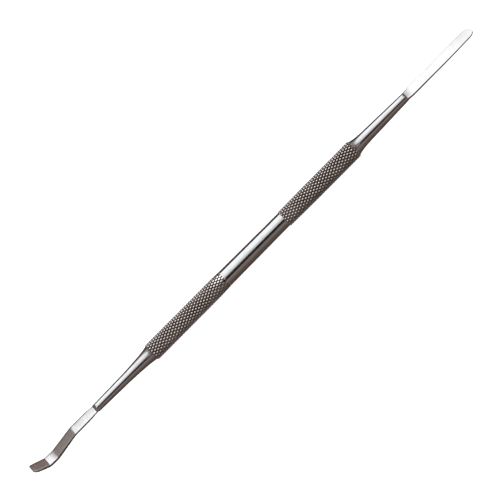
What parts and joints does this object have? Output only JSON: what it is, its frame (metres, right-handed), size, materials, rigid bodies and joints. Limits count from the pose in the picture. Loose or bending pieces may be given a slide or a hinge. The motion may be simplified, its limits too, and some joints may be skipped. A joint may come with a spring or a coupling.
{
  "type": "cuticle pusher",
  "caption": "Slim double-ended steel cuticle pusher: knurled round handle, a straight rounded spatula blade at one end and a bent cleaner blade at the other.",
  "frame": {"origin": "on the handle's axis, halfway between the two tips", "axes": "+X along the handle to the straight pusher blade, +Z out of both ground faces, +Y to the left seen from above with +X ahead"},
  "size_m": [0.1556, 0.005, 0.005],
  "materials": {
    "handle_steel": "turned and polished, knurled grips",
    "blade_steel": "ground flat and polished with fine cross brushing",
    "braze": "silver brazing alloy, satin"
  },
  "bodies": {
    "root": {"handle": "handle_steel", "pusher_end": "blade_steel", "cleaner_end": "blade_steel", "pusher_braze_ring": "braze", "cleaner_braze_ring": "braze"}
  },
  "joints": []
}
